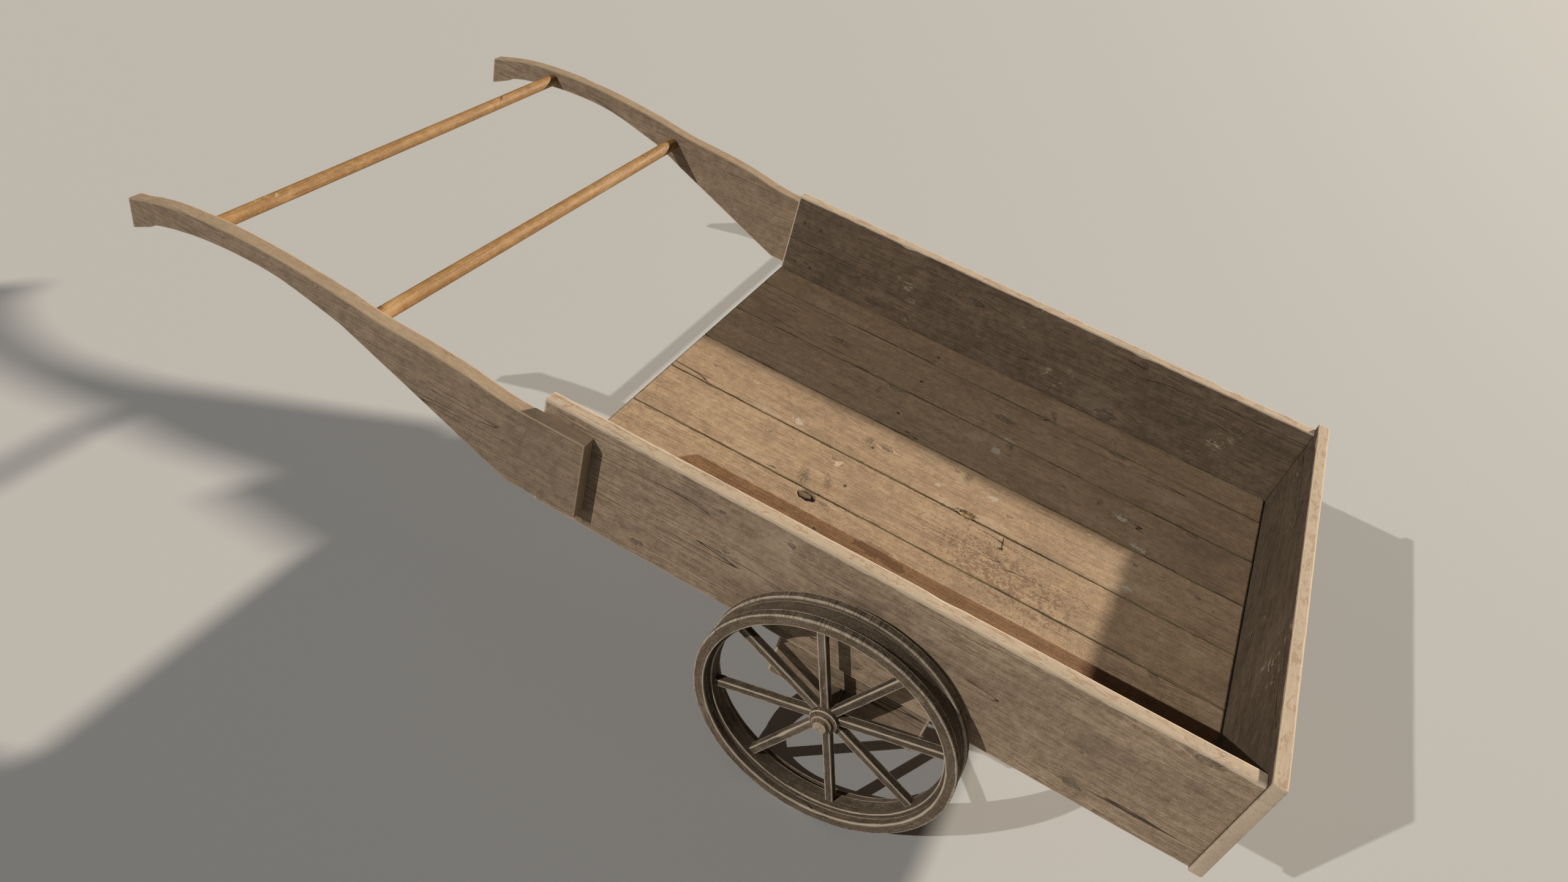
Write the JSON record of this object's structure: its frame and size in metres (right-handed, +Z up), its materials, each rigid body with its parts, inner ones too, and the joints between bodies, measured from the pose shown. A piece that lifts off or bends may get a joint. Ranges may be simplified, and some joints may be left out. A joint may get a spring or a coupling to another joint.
{
  "type": "wooden hand cart",
  "caption": "Open-backed wooden plank box cart on a pair of spoked wooden wheels, moved by hand with twin shaped shafts joined by round crossbars.",
  "frame": {"origin": "on the ground under the middle of the cart's length and width", "axes": "+X to the closed front of the box, away from the grips; +Y to the cart's left; +Z up"},
  "size_m": [2.011, 1.079, 0.5237],
  "materials": {
    "board_wood": "weathered, dry, grey-brown with pale worn edges",
    "floor_wood": "weathered, dry, tan-brown with knots and cracks",
    "shaft_wood": "weathered, hand-worn, grey-brown",
    "bar_wood": "smooth, honey-coloured, satin from handling",
    "wheel_wood": "weathered, dry, dark grey-brown with bright worn edges",
    "turned_wood": "turned, dry",
    "iron": "dark, oxidised"
  },
  "bodies": {
    "cart": {"side_board_left": "board_wood", "side_board_right": "board_wood", "front_board": "board_wood", "floor_plank_1": "floor_wood", "floor_plank_2": "floor_wood", "floor_plank_3": "floor_wood", "floor_plank_4": "floor_wood", "floor_plank_5": "floor_wood", "floor_plank_6": "floor_wood", "floor_plank_7": "floor_wood", "floor_batten_rear": "board_wood", "floor_batten_middle": "board_wood", "floor_batten_front": "board_wood", "bolster": "board_wood", "shaft_left": "shaft_wood", "shaft_right": "shaft_wood", "handle_bar": "bar_wood", "cross_rail": "bar_wood", "axle_bracket_left": "board_wood", "axle_bracket_right": "board_wood", "axle": "turned_wood", "spacer_left": "turned_wood", "spacer_right": "turned_wood", "collar_left": "turned_wood", "collar_right": "turned_wood", "collar_pins": "iron", "bracket_dowels": "turned_wood", "front_nails": "iron", "floor_nails": "iron", "shaft_nails": "iron", "bar_nails": "iron"},
    "wheel_left": {"hub_left": "wheel_wood", "felloe_left": "wheel_wood", "outer_flange_left": "wheel_wood", "inner_flange_left": "wheel_wood", "rim_pegs_left": "turned_wood", "spoke_left_1": "wheel_wood", "spoke_left_2": "wheel_wood", "spoke_left_3": "wheel_wood", "spoke_left_4": "wheel_wood", "spoke_left_5": "wheel_wood", "spoke_left_6": "wheel_wood", "spoke_left_7": "wheel_wood", "spoke_left_8": "wheel_wood"},
    "wheel_right": {"hub_right": "wheel_wood", "felloe_right": "wheel_wood", "outer_flange_right": "wheel_wood", "inner_flange_right": "wheel_wood", "rim_pegs_right": "turned_wood", "spoke_right_1": "wheel_wood", "spoke_right_2": "wheel_wood", "spoke_right_3": "wheel_wood", "spoke_right_4": "wheel_wood", "spoke_right_5": "wheel_wood", "spoke_right_6": "wheel_wood", "spoke_right_7": "wheel_wood", "spoke_right_8": "wheel_wood"}
  },
  "joints": [
    {"name": "wheel_left_spin", "type": "hinge", "parent": "cart", "child": "wheel_left", "pos_m": [0.4225, 0.51025, 0.223], "axis": [0, 1, 0], "continuous": true},
    {"name": "wheel_right_spin", "type": "hinge", "parent": "cart", "child": "wheel_right", "pos_m": [0.4225, -0.51025, 0.223], "axis": [0, 1, 0], "continuous": true}
  ]
}
